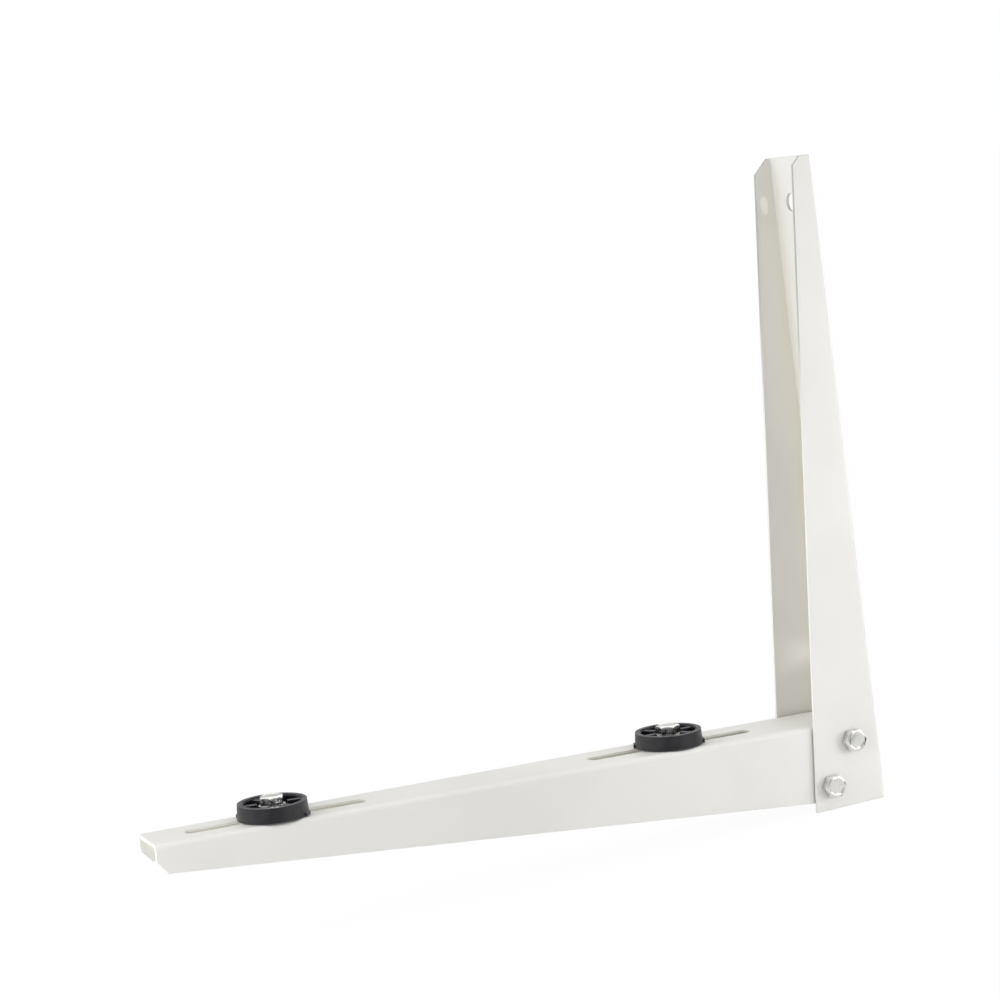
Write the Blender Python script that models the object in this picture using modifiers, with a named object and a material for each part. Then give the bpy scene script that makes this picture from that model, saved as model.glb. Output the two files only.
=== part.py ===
"""Wall bracket for the outdoor unit of an air conditioner.

A tapered upright channel lies flat on the wall. A tapered arm channel is bolted between its cheeks and
rises a little towards its tip. Two rubber dampers are clamped in the arm's slots and carry the unit.

Sizes are in metres. X leaves the wall along the arm, Y crosses the bracket and Z points up. The origin
is the centre of the upright's back face, which lies on the wall.
"""

import math

import bmesh
import bpy

# Space between pieces that touch, and how far a cutter reaches past what it cuts
SEAT_GAP = 0.0003
CUT_OVERRUN = 0.004

# Upright: a channel with its web on the wall, shallow at the top and deep at the foot
UPRIGHT_HEIGHT = 0.400
UPRIGHT_WIDTH = 0.050
UPRIGHT_TOP_DEPTH = 0.0128
UPRIGHT_FOOT_DEPTH = 0.0492
UPRIGHT_SHEET = 0.002
UPRIGHT_BEND = 0.003
RIGHT_TOP_CHAMFER = 0.005
LEFT_TOP_CHAMFER = 0.009

# Anchor slots in the upright's web, from its top and its foot to the middle of the slot
ANCHOR_SLOT_LENGTH = 0.018
ANCHOR_SLOT_WIDTH = 0.011
UPPER_ANCHOR_DROP = 0.028
LOWER_ANCHOR_RISE = 0.092

# Arm: a channel with its web on top, deep at the root and shallow at the tip
ARM_LENGTH = 0.457
ARM_RISE = math.radians(2.5)
ARM_TOP_ABOVE_FOOT = 0.0513
ARM_ROOT_DEPTH = 0.0508
ARM_TIP_DEPTH = 0.0168
ARM_TIP_WIDTH = 0.0378
ARM_SHEET = 0.002
ARM_BEND = 0.003
ARM_SIDE_CLEARANCE = 0.0003
ARM_ROOT_CLEARANCE = 0.002
TIP_CHAMFER_LENGTH = 0.0058
TIP_CHAMFER_HEIGHT = 0.0070

# Slots in the arm's web, to the middle of the slot: the inner from the arm's root, the outer from its tip
ARM_SLOT_LENGTH = 0.110
ARM_SLOT_WIDTH = 0.010
INNER_SLOT_PLACE = 0.1275
OUTER_SLOT_SETBACK = 0.0775
OUTER_SLOT_PLACE = ARM_LENGTH - OUTER_SLOT_SETBACK

# Corner bolts, from the wall and from the upright's foot
UPPER_BOLT_REACH = 0.0189
UPPER_BOLT_HEIGHT = 0.0404
LOWER_BOLT_REACH = 0.0365
LOWER_BOLT_HEIGHT = 0.0148

# Hexagon bolts and nuts, 8 mm thread
BOLT_DIAMETER = 0.008
BOLT_HOLE_PLAY = 0.001
THREAD_PLAY = 0.0006
HEX_ACROSS_FLATS = 0.013
HEAD_HEIGHT = 0.0053
HEAD_HOLLOW_RADIUS = 0.0051
HEAD_HOLLOW_DEPTH = 0.0005
NUT_HEIGHT = 0.0065
HEX_CHAMFER = math.radians(30)
HEX_FACE_SHARE = 0.87
BOLT_TIP_CHAMFER = 0.0008
NUT_COUNTERSINK = 0.0005
CORNER_BOLT_SPARE = 0.0025
DAMPER_BOLT_SPARE = 0.0055

# Washers
WASHER_THICKNESS = 0.0016
WASHER_DIAMETER = 0.016
SLOT_WASHER_THICKNESS = 0.002
SLOT_WASHER_DIAMETER = 0.024

# Damper: a moulded rubber disc with a rim, spokes between pockets, a low hub and two lugs at its foot
DAMPER_HEIGHT = 0.009
DAMPER_RIM_RADIUS = 0.0202
DAMPER_FOOT_RADIUS = 0.0209
DAMPER_RIM_WALL = 0.0028
DAMPER_EDGE = 0.0004
DAMPER_HUB_HEIGHT = 0.005
SPOKE_DROP = 0.0008
DAMPER_FLOOR = 0.002
HUB_SEAT_PLAY = 0.001
SPOKE_STEP = 0.0004
SPOKE_COUNT = 6
SPOKE_WIDTH = 0.0034
POCKET_ARC_STEPS = 6
POCKET_LEDGE = 0.0005
LUG_WIDTH = 0.006
LUG_HEIGHT = 0.0022
LUG_REACH = 0.0009

# Where each damper sits from the middle of its slot, and how it and its bolt are turned
INNER_DAMPER_SHIFT = 0.0
OUTER_DAMPER_SHIFT = 0.002
INNER_DAMPER_TURN = math.radians(66)
OUTER_DAMPER_TURN = math.radians(52)
INNER_BOLT_TURN = math.radians(32)
OUTER_BOLT_TURN = math.radians(8)

# Smoothness of round shapes
BEND_STEPS = 5
HOLE_STEPS = 32
WASHER_STEPS = 32
THREAD_STEPS = 24
HEAD_STEPS = 36
DAMPER_STEPS = 60
SMOOTH_ANGLE = math.radians(30)
MERGE_DISTANCE = 0.00001

# Where the arm starts, seen from the upright
FOOT_LEVEL = -UPRIGHT_HEIGHT / 2
ARM_ROOT_REACH = UPRIGHT_SHEET + ARM_ROOT_CLEARANCE
ARM_ROOT_LEVEL = FOOT_LEVEL + ARM_TOP_ABOVE_FOOT
ARM_ROOT_WIDTH = UPRIGHT_WIDTH - 2 * (UPRIGHT_SHEET + ARM_SIDE_CLEARANCE)
ARM_SIDE_ANGLE = math.atan2((ARM_ROOT_WIDTH - ARM_TIP_WIDTH) / 2, ARM_LENGTH)
BOLT_HOLE_DIAMETER = BOLT_DIAMETER + BOLT_HOLE_PLAY
HEX_CORNER_RADIUS = HEX_ACROSS_FLATS / math.sqrt(3)


def clear_scene():
    """Remove every object of the scene that is open."""
    for old in list(bpy.data.objects):
        bpy.data.objects.remove(old, do_unlink=True)


def new_collection(name):
    """Add a collection to the scene."""
    collection = bpy.data.collections.new(name)
    bpy.context.scene.collection.children.link(collection)
    return collection


def new_material(name, colour, roughness, metallic):
    """Make a plain material from a linear colour."""
    material = bpy.data.materials.new(name)
    material.use_nodes = True
    shader = material.node_tree.nodes["Principled BSDF"]
    shader.inputs["Base Color"].default_value = (*colour, 1.0)
    shader.inputs["Roughness"].default_value = roughness
    shader.inputs["Metallic"].default_value = metallic
    material.diffuse_color = (*colour, 1.0)
    return material


def new_empty(name, collection, parent=None, location=(0, 0, 0), rotation=(0, 0, 0)):
    """Add an empty that carries other pieces."""
    empty = bpy.data.objects.new(name, None)
    empty.empty_display_size = 0.02
    empty.parent = parent
    empty.location = location
    empty.rotation_euler = rotation
    collection.objects.link(empty)
    return empty


def new_piece(name, mesh, collection, material, parent=None, location=(0, 0, 0), rotation=(0, 0, 0)):
    """Add a mesh object to the bracket."""
    piece = bpy.data.objects.new(name, mesh)
    piece.parent = parent
    piece.location = location
    piece.rotation_euler = rotation
    if material and not mesh.materials:
        mesh.materials.append(material)
    collection.objects.link(piece)
    return piece


def as_cutter(piece):
    """Mark an object as a tool for Booleans only."""
    piece.hide_render = True
    piece.display_type = "WIRE"
    return piece


def shade_round(mesh):
    """Smooth the round faces and keep the real edges sharp."""
    mesh.shade_smooth()
    mesh.set_sharp_from_angle(angle=SMOOTH_ANGLE)


def add_boolean(piece, tool, operation):
    """Cut, join or intersect a piece with a tool."""
    modifier = piece.modifiers.new(operation.lower() + "_" + tool.name, "BOOLEAN")
    modifier.operation = operation
    modifier.solver = "EXACT"
    modifier.object = tool


def baked_mesh(piece, name):
    """Return the evaluated mesh of an object, cleaned of doubled points."""
    bpy.context.view_layer.update()
    evaluated = piece.evaluated_get(bpy.context.evaluated_depsgraph_get())
    mesh = bpy.data.meshes.new_from_object(evaluated)
    mesh.name = name
    bm = bmesh.new()
    bm.from_mesh(mesh)
    bmesh.ops.remove_doubles(bm, verts=bm.verts, dist=MERGE_DISTANCE)
    bm.to_mesh(mesh)
    bm.free()
    return mesh


def take_mesh(piece, name):
    """Return the evaluated mesh of an object and remove the object."""
    mesh = baked_mesh(piece, name)
    bpy.data.objects.remove(piece, do_unlink=True)
    shade_round(mesh)
    return mesh


def turned(name, profile, steps, collection, closed=True):
    """Turn a profile of (radius, height) points about Z, outer side first and downwards."""
    points = [(radius, 0, height) for radius, height in profile]
    edges = [(i, i + 1) for i in range(len(points) - 1)]
    if closed:
        edges.append((len(points) - 1, 0))
    mesh = bpy.data.meshes.new(name)
    mesh.from_pydata(points, edges, [])
    piece = new_piece(name, mesh, collection, None)
    screw = piece.modifiers.new("turn", "SCREW")
    screw.axis = "Z"
    screw.angle = math.tau
    screw.steps = steps
    screw.render_steps = steps
    screw.use_merge_vertices = True
    screw.merge_threshold = MERGE_DISTANCE
    return piece


def plate(name, outlines, bottom, top, collection):
    """Fill flat outlines of (x, y) points and give them a thickness from bottom to top."""
    curve = bpy.data.curves.new(name, "CURVE")
    curve.dimensions = "2D"
    curve.fill_mode = "BOTH"
    curve.extrude = (top - bottom) / 2
    for outline in outlines:
        spline = curve.splines.new("POLY")
        spline.points.add(len(outline) - 1)
        for point, (x, y) in zip(spline.points, outline):
            point.co = (x, y, 0, 1)
        spline.use_cyclic_u = True
    flat = bpy.data.objects.new(name, curve)
    collection.objects.link(flat)
    mesh = baked_mesh(flat, name)
    bpy.data.objects.remove(flat, do_unlink=True)
    for vertex in mesh.vertices:
        vertex.co.z += (top + bottom) / 2
    return new_piece(name, mesh, collection, None)


def arc(centre_x, centre_y, radius, start, end, steps):
    """Points on an arc, both ends included."""
    angles = [start + (end - start) * i / steps for i in range(steps + 1)]
    return [(centre_x + radius * math.cos(a), centre_y + radius * math.sin(a)) for a in angles]


def slot_outline(length, width, steps=HOLE_STEPS):
    """A slot with round ends, long in its first direction."""
    half = (length - width) / 2
    right = arc(half, 0, width / 2, -math.pi / 2, math.pi / 2, steps // 2)
    left = arc(-half, 0, width / 2, math.pi / 2, 3 * math.pi / 2, steps // 2)
    return right + left


def cylinder(name, radius, depth, steps, collection, location=(0, 0, 0), rotation=(0, 0, 0)):
    """A plain cylinder along its own Z, centred on its location."""
    mesh = bpy.data.meshes.new(name)
    bm = bmesh.new()
    bmesh.ops.create_cone(
        bm, cap_ends=True, segments=steps, radius1=radius, radius2=radius, depth=depth
    )
    bm.to_mesh(mesh)
    bm.free()
    return new_piece(name, mesh, collection, None, location=location, rotation=rotation)


def channel_section(width, depth, bend):
    """The outside of a channel as (across, down) points, from one cheek's free edge to the other's."""
    side = width / 2
    right = arc(side - bend, bend, bend, 0, -math.pi / 2, BEND_STEPS)
    left = arc(-side + bend, bend, bend, -math.pi / 2, -math.pi, BEND_STEPS)
    return [(side, depth), *right, *left, (-side, depth)]


def channel(name, sections, bend, sheet, place, collection, material, **where):
    """Fold a tapered channel: sections are (along, width, depth), and place maps a point to space."""
    bm = bmesh.new()
    rows = []
    for along, width, depth in sections:
        outline = channel_section(width, depth, bend)
        rows.append([bm.verts.new(place(along, across, down)) for across, down in outline])
    for first, second in zip(rows, rows[1:]):
        for i in range(len(first) - 1):
            bm.faces.new((first[i], first[i + 1], second[i + 1], second[i]))
    bm.normal_update()
    mesh = bpy.data.meshes.new(name)
    bm.to_mesh(mesh)
    bm.free()
    piece = new_piece(name, mesh, collection, material, **where)
    solidify = piece.modifiers.new("sheet", "SOLIDIFY")
    solidify.thickness = sheet
    solidify.offset = -1
    solidify.use_even_offset = True
    return piece


def corner_cutter(name, points, half_width, middle, collection, parent=None):
    """A prism across Y whose side view is the triangle of (x, z) points."""
    outline = [(x, -z) for x, z in points]
    piece = plate(name, [outline], -half_width, half_width, collection)
    piece.rotation_euler = (-math.pi / 2, 0, 0)
    piece.location = (0, middle, 0)
    piece.parent = parent
    return as_cutter(piece)


def upright_depth(level):
    """How deep the upright's cheeks are at a level above its foot."""
    share = level / UPRIGHT_HEIGHT
    return UPRIGHT_FOOT_DEPTH + (UPRIGHT_TOP_DEPTH - UPRIGHT_FOOT_DEPTH) * share


def arm_half_width(along):
    """Half the arm's width at a distance from its root."""
    return (ARM_ROOT_WIDTH + (ARM_TIP_WIDTH - ARM_ROOT_WIDTH) * along / ARM_LENGTH) / 2


def corner_bolt_places():
    """The corner bolts by name, as (reach from the wall, level above the origin)."""
    return {
        "upper": (UPPER_BOLT_REACH, FOOT_LEVEL + UPPER_BOLT_HEIGHT),
        "lower": (LOWER_BOLT_REACH, FOOT_LEVEL + LOWER_BOLT_HEIGHT),
    }


def top_chamfer_cutter(name, side, chamfer, cutters):
    """Cut the front top corner off one cheek of the upright; side is 1 on the right, -1 on the left."""
    top = UPRIGHT_HEIGHT / 2
    front = upright_depth(UPRIGHT_HEIGHT - chamfer)
    triangle = [
        (front - chamfer - CUT_OVERRUN, top + CUT_OVERRUN),
        (front + CUT_OVERRUN, top - chamfer - CUT_OVERRUN),
        (front + CUT_OVERRUN, top + CUT_OVERRUN),
    ]
    middle = side * UPRIGHT_WIDTH / 2
    return corner_cutter(name, triangle, UPRIGHT_WIDTH / 4, middle, cutters)


def make_upright(parts, cutters, paint):
    """The channel on the wall, with its chamfers, anchor slots and bolt holes."""
    sections = [
        (FOOT_LEVEL, UPRIGHT_WIDTH, UPRIGHT_FOOT_DEPTH),
        (FOOT_LEVEL + UPRIGHT_HEIGHT, UPRIGHT_WIDTH, UPRIGHT_TOP_DEPTH),
    ]
    upright = channel(
        "upright_channel",
        sections,
        UPRIGHT_BEND,
        UPRIGHT_SHEET,
        lambda along, across, down: (down, across, along),
        parts,
        paint,
    )
    for name, side, chamfer in (
        ("right_top_corner", 1, RIGHT_TOP_CHAMFER),
        ("left_top_corner", -1, LEFT_TOP_CHAMFER),
    ):
        add_boolean(upright, top_chamfer_cutter(name, side, chamfer, cutters), "DIFFERENCE")
    levels = (UPRIGHT_HEIGHT / 2 - UPPER_ANCHOR_DROP, FOOT_LEVEL + LOWER_ANCHOR_RISE)
    for name, level in zip(("upper_anchor_slot", "lower_anchor_slot"), levels):
        outline = [(y, x) for x, y in slot_outline(ANCHOR_SLOT_LENGTH, ANCHOR_SLOT_WIDTH)]
        slot = plate(name, [outline], -CUT_OVERRUN, UPRIGHT_SHEET + CUT_OVERRUN, cutters)
        slot.rotation_euler = (0, math.pi / 2, 0)
        slot.location = (0, 0, level)
        add_boolean(upright, as_cutter(slot), "DIFFERENCE")
    return upright


def make_arm(arm_frame, parts, cutters, paint):
    """The channel that carries the unit, with its tip chamfers, slots and bolt holes."""
    sections = [
        (0, ARM_ROOT_WIDTH, ARM_ROOT_DEPTH),
        (ARM_LENGTH, ARM_TIP_WIDTH, ARM_TIP_DEPTH),
    ]
    arm = channel(
        "arm_channel",
        sections,
        ARM_BEND,
        ARM_SHEET,
        lambda along, across, down: (along, across, -down),
        parts,
        paint,
        parent=arm_frame,
    )
    run = CUT_OVERRUN * TIP_CHAMFER_LENGTH / TIP_CHAMFER_HEIGHT
    triangle = [
        (ARM_LENGTH - TIP_CHAMFER_LENGTH - run, -ARM_TIP_DEPTH - CUT_OVERRUN),
        (ARM_LENGTH + run, -ARM_TIP_DEPTH + TIP_CHAMFER_HEIGHT + CUT_OVERRUN),
        (ARM_LENGTH + TIP_CHAMFER_LENGTH + run, -ARM_TIP_DEPTH - CUT_OVERRUN),
    ]
    tip = corner_cutter("tip_corners", triangle, ARM_TIP_WIDTH, 0, cutters, arm_frame)
    add_boolean(arm, tip, "DIFFERENCE")
    for name, place in (("inner_slot", INNER_SLOT_PLACE), ("outer_slot", OUTER_SLOT_PLACE)):
        outline = slot_outline(ARM_SLOT_LENGTH, ARM_SLOT_WIDTH)
        slot = plate(name, [outline], -ARM_SHEET - CUT_OVERRUN, CUT_OVERRUN, cutters)
        slot.parent = arm_frame
        slot.location = (place, 0, 0)
        add_boolean(arm, as_cutter(slot), "DIFFERENCE")
    return arm


def drill_corner_holes(channels, cutters):
    """Drill each corner bolt's hole through all four cheeks."""
    for name, (reach, level) in corner_bolt_places().items():
        drill = cylinder(
            name + "_corner_hole",
            BOLT_HOLE_DIAMETER / 2,
            UPRIGHT_WIDTH + 2 * CUT_OVERRUN,
            HOLE_STEPS,
            cutters,
            location=(reach, 0, level),
            rotation=(math.pi / 2, 0, 0),
        )
        for piece in channels:
            add_boolean(piece, as_cutter(drill), "DIFFERENCE")


def hexagon_prism(name, bottom, top, cutters):
    """A six-sided prism along Z with a corner on +X."""
    prism = cylinder(name, HEX_CORNER_RADIUS, top - bottom, 6, cutters)
    turn = math.atan2(prism.data.vertices[0].co.y, prism.data.vertices[0].co.x)
    prism.rotation_euler = (0, 0, -turn)
    prism.location = (0, 0, (top + bottom) / 2)
    return prism


def hex_blank_radii():
    """The chamfer circle of a hexagon's face, a radius past its corners, and the chamfer's drop there."""
    face = HEX_ACROSS_FLATS / 2 * HEX_FACE_SHARE
    outer = HEX_CORNER_RADIUS * 1.05
    drop = (outer - face) * math.tan(HEX_CHAMFER)
    return face, outer, drop


def bolt_mesh(name, length, cutters, zinc):
    """A hexagon bolt whose head stands on z = 0 and whose shank hangs below it."""
    face, outer, drop = hex_blank_radii()
    top = HEAD_HEIGHT
    hollow = top - HEAD_HOLLOW_DEPTH
    profile = [
        (0, hollow),
        (HEAD_HOLLOW_RADIUS - HEAD_HOLLOW_DEPTH, hollow),
        (HEAD_HOLLOW_RADIUS, top),
        (face, top),
        (outer, top - drop),
        (outer, 0),
        (0, 0),
    ]
    head = turned(name + "_head", profile, HEAD_STEPS, cutters, closed=False)
    prism = hexagon_prism(name + "_flats", -CUT_OVERRUN, top + CUT_OVERRUN, cutters)
    add_boolean(head, prism, "INTERSECT")
    radius = BOLT_DIAMETER / 2
    shank_profile = [
        (0, HEAD_HEIGHT / 2),
        (radius, HEAD_HEIGHT / 2),
        (radius, -length + BOLT_TIP_CHAMFER),
        (radius - BOLT_TIP_CHAMFER, -length),
        (0, -length),
    ]
    shank = turned(name + "_shank", shank_profile, THREAD_STEPS, cutters, closed=False)
    add_boolean(head, shank, "UNION")
    mesh = take_mesh(head, name)
    for tool in (prism, shank):
        bpy.data.objects.remove(tool, do_unlink=True)
    mesh.materials.append(zinc)
    return mesh


def nut_mesh(name, cutters, zinc):
    """A hexagon nut that stands on z = 0."""
    face, outer, drop = hex_blank_radii()
    bore = (BOLT_DIAMETER + THREAD_PLAY) / 2
    mouth = bore + NUT_COUNTERSINK
    profile = [
        (face, NUT_HEIGHT),
        (outer, NUT_HEIGHT - drop),
        (outer, drop),
        (face, 0),
        (mouth, 0),
        (bore, NUT_COUNTERSINK),
        (bore, NUT_HEIGHT - NUT_COUNTERSINK),
        (mouth, NUT_HEIGHT),
    ]
    nut = turned(name, profile, HEAD_STEPS, cutters)
    prism = hexagon_prism(name + "_flats", -CUT_OVERRUN, NUT_HEIGHT + CUT_OVERRUN, cutters)
    add_boolean(nut, prism, "INTERSECT")
    mesh = take_mesh(nut, name)
    bpy.data.objects.remove(prism, do_unlink=True)
    mesh.materials.append(zinc)
    return mesh


def washer_mesh(name, diameter, thickness, cutters, zinc):
    """A flat washer that stands on z = 0."""
    outer = diameter / 2
    bore = BOLT_HOLE_DIAMETER / 2
    profile = [(outer, thickness), (outer, 0), (bore, 0), (bore, thickness)]
    mesh = take_mesh(turned(name, profile, WASHER_STEPS, cutters), name)
    mesh.materials.append(zinc)
    return mesh


def pocket_outline(middle, inner, outer):
    """One pocket between two spokes of even width, as a closed outline round its middle angle."""
    half_gap = math.pi / SPOKE_COUNT
    inner_edge = half_gap - math.asin(SPOKE_WIDTH / 2 / inner)
    outer_edge = half_gap - math.asin(SPOKE_WIDTH / 2 / outer)
    outside = arc(0, 0, outer, middle - outer_edge, middle + outer_edge, POCKET_ARC_STEPS)
    inside = arc(0, 0, inner, middle + inner_edge, middle - inner_edge, POCKET_ARC_STEPS)
    return outside + inside


def lug_outline(side):
    """One lug at the damper's foot, half way between two spokes; side is 1 or -1."""
    inner = DAMPER_RIM_RADIUS - DAMPER_RIM_WALL / 2
    outer = DAMPER_FOOT_RADIUS + LUG_REACH
    half = LUG_WIDTH / 2
    return [(half, side * inner), (half, side * outer), (-half, side * outer), (-half, side * inner)]


def damper_mesh(name, cutters, rubber):
    """A rubber damper that stands on z = 0, with one spoke on +X and a lug on +Y and on -Y."""
    top = DAMPER_HEIGHT
    rim_inside = DAMPER_RIM_RADIUS - DAMPER_RIM_WALL
    spoke_top = top - SPOKE_DROP
    seat = WASHER_DIAMETER / 2 + HUB_SEAT_PLAY
    bore = BOLT_HOLE_DIAMETER / 2
    profile = [
        (DAMPER_RIM_RADIUS - DAMPER_EDGE, top),
        (DAMPER_RIM_RADIUS, top - DAMPER_EDGE),
        (DAMPER_FOOT_RADIUS, 0),
        (bore, 0),
        (bore, DAMPER_HUB_HEIGHT),
        (seat, DAMPER_HUB_HEIGHT),
        (seat, spoke_top),
        (rim_inside, spoke_top),
        (rim_inside, top - DAMPER_EDGE),
        (rim_inside + DAMPER_EDGE, top),
    ]
    damper = turned(name, profile, DAMPER_STEPS, cutters)
    middles = [math.tau * (i + 0.5) / SPOKE_COUNT for i in range(SPOKE_COUNT)]
    pocket_inside = seat - SPOKE_STEP
    pocket_outside = rim_inside - POCKET_LEDGE
    outlines = [pocket_outline(middle, pocket_inside, pocket_outside) for middle in middles]
    pockets = plate(name + "_pockets", outlines, DAMPER_FLOOR, top + CUT_OVERRUN, cutters)
    add_boolean(damper, pockets, "DIFFERENCE")
    lugs = plate(name + "_lugs", [lug_outline(1), lug_outline(-1)], 0, LUG_HEIGHT, cutters)
    add_boolean(damper, lugs, "UNION")
    mesh = take_mesh(damper, name)
    for tool in (pockets, lugs):
        bpy.data.objects.remove(tool, do_unlink=True)
    mesh.materials.append(rubber)
    return mesh


def make_corner_fasteners(parts, cutters, zinc):
    """Four short bolts clamp the arm's cheeks to the upright's, each with a washer and a nut inside."""
    upright_side = UPRIGHT_WIDTH / 2
    widest_gap = UPRIGHT_SHEET + 2 * SEAT_GAP + ARM_SHEET / math.cos(ARM_SIDE_ANGLE)
    stack = widest_gap + WASHER_THICKNESS + NUT_HEIGHT + 2 * SEAT_GAP
    washer = washer_mesh("corner_washer", WASHER_DIAMETER, WASHER_THICKNESS, cutters, zinc)
    nut = nut_mesh("corner_nut", cutters, zinc)
    bolt = bolt_mesh("corner_bolt", stack + CORNER_BOLT_SPARE, cutters, zinc)
    for level_name, (reach, level) in corner_bolt_places().items():
        along = (reach - ARM_ROOT_REACH) * math.cos(ARM_RISE)
        along += (level - ARM_ROOT_LEVEL) * math.sin(ARM_RISE)
        cheek_inside = arm_half_width(along) - ARM_SHEET / math.cos(ARM_SIDE_ANGLE)
        lean = WASHER_DIAMETER / 2 * math.tan(ARM_SIDE_ANGLE)
        washer_back = cheek_inside - SEAT_GAP - lean - WASHER_THICKNESS
        nut_back = washer_back - SEAT_GAP - NUT_HEIGHT
        places = {
            "bolt": (bolt, upright_side + SEAT_GAP),
            "washer": (washer, washer_back),
            "nut": (nut, nut_back),
        }
        for side_name, side in (("right", 1), ("left", -1)):
            for kind, (mesh, out) in places.items():
                new_piece(
                    f"{level_name}_{side_name}_corner_{kind}",
                    mesh,
                    parts,
                    None,
                    location=(reach, side * out, level),
                    rotation=(-side * math.pi / 2, 0, 0),
                )


def make_damper_mounts(arm_frame, parts, cutters, rubber, zinc):
    """Two dampers, each clamped through its slot by a bolt, two washers and a nut."""
    hub_top = SEAT_GAP + DAMPER_HUB_HEIGHT
    washer_place = hub_top + SEAT_GAP
    bolt_place = washer_place + WASHER_THICKNESS + SEAT_GAP
    slot_washer_place = -ARM_SHEET - SEAT_GAP - SLOT_WASHER_THICKNESS
    nut_place = slot_washer_place - SEAT_GAP - NUT_HEIGHT
    length = bolt_place - nut_place + DAMPER_BOLT_SPARE
    damper = damper_mesh("damper", cutters, rubber)
    washer = washer_mesh("damper_washer", WASHER_DIAMETER, WASHER_THICKNESS, cutters, zinc)
    slot_washer = washer_mesh("slot_washer", SLOT_WASHER_DIAMETER, SLOT_WASHER_THICKNESS, cutters, zinc)
    nut = nut_mesh("damper_nut", cutters, zinc)
    bolt = bolt_mesh("damper_bolt", length, cutters, zinc)
    mounts = (
        ("inner", INNER_SLOT_PLACE + INNER_DAMPER_SHIFT, INNER_DAMPER_TURN, INNER_BOLT_TURN),
        ("outer", OUTER_SLOT_PLACE + OUTER_DAMPER_SHIFT, OUTER_DAMPER_TURN, OUTER_BOLT_TURN),
    )
    for name, place, damper_turn, bolt_turn in mounts:
        carrier = new_empty(name + "_damper_slide", parts, arm_frame, (place, 0, 0))
        pieces = (
            ("damper", damper, SEAT_GAP, damper_turn),
            ("damper_washer", washer, washer_place, 0),
            ("damper_bolt", bolt, bolt_place, bolt_turn),
            ("slot_washer", slot_washer, slot_washer_place, 0),
            ("damper_nut", nut, nut_place, bolt_turn),
        )
        for kind, mesh, height, turn in pieces:
            new_piece(
                f"{name}_{kind}",
                mesh,
                parts,
                None,
                parent=carrier,
                location=(0, 0, height),
                rotation=(0, 0, turn),
            )


def main():
    clear_scene()
    parts = new_collection("outdoor_unit_bracket")
    cutters = new_collection("cutters")
    paint = new_material("warm_white_paint", (0.80, 0.79, 0.76), 0.42, 0.0)
    zinc = new_material("bright_zinc", (0.72, 0.72, 0.70), 0.28, 1.0)
    rubber = new_material("black_rubber", (0.028, 0.028, 0.030), 0.55, 0.0)
    arm_frame = new_empty(
        "arm_frame",
        parts,
        location=(ARM_ROOT_REACH, 0, ARM_ROOT_LEVEL),
        rotation=(0, -ARM_RISE, 0),
    )
    upright = make_upright(parts, cutters, paint)
    arm = make_arm(arm_frame, parts, cutters, paint)
    drill_corner_holes((upright, arm), cutters)
    make_corner_fasteners(parts, cutters, zinc)
    make_damper_mounts(arm_frame, parts, cutters, rubber, zinc)


main()
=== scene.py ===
"""Looks for a wall bracket that carries the outdoor unit of an air conditioner.

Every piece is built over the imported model, in metres and in its frame: X leaves the wall
along the arm, Y crosses the bracket, Z points up, and the origin is the centre of the upright's
back face.
"""

import math

import bmesh
import bpy
from bpy.props import FloatProperty, FloatVectorProperty, IntProperty, PointerProperty
from mathutils import Matrix, Vector


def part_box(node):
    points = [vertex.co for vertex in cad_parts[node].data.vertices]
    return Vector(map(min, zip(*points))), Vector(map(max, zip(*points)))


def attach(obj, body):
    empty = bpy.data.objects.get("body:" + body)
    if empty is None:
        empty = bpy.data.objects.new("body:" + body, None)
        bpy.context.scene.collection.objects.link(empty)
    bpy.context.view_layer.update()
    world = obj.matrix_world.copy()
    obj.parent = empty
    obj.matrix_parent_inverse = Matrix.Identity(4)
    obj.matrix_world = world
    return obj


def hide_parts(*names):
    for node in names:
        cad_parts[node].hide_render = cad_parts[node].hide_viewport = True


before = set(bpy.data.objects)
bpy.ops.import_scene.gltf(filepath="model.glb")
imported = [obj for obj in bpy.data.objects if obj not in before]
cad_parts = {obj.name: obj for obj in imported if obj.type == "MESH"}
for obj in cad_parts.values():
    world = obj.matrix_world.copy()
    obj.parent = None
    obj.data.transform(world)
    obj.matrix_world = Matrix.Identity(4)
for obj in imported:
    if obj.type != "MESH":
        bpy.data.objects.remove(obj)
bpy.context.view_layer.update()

bl_info = {
    "name": "Outdoor Unit Bracket",
    "version": (1, 0, 0),
    "blender": (4, 5, 0),
    "location": "3D View > Sidebar > Bracket",
    "description": "Builds a painted wall bracket with rubber dampers and zinc plated fasteners",
    "category": "Object",
}

# Finishing of edges and round shapes
MERGE_DISTANCE = 0.000002
SMOOTH_ANGLE = math.radians(38)
BEVEL_ANGLE = math.radians(24)
CUT_OVERRUN = 0.004
SEAT_GAP = 0.0003
TURNED_STEPS = 96
DAMPER_STEPS = 120
DAMPER_EDGE_SEGMENTS = 3
HOLE_STEPS = 48
POCKET_STEPS = 12
BEND_STEPS = 10
FLAT_WEIGHT = 100

# Hexagons: the face's circle as a share of the flats, the blank's radius as a share of the
# corners', the chamfer's slope, the chamfer of a nut's bore, and how far the hollow's first slope
# rises, as a share of its depth
HEX_FACE_SHARE = 0.87
HEX_BLANK_SHARE = 1.05
HEX_CHAMFER = math.radians(30)
BORE_CHAMFER = 0.0005
HOLLOW_RISE = 0.3

# One turn of a metric thread, as (share of the pitch, share of the thread's depth)
THREAD_TURN = ((0.0, 1.0), (0.125, 1.0), (0.4375, 0.0), (0.6875, 0.0))
THREAD_SEGMENTS = 40

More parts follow.
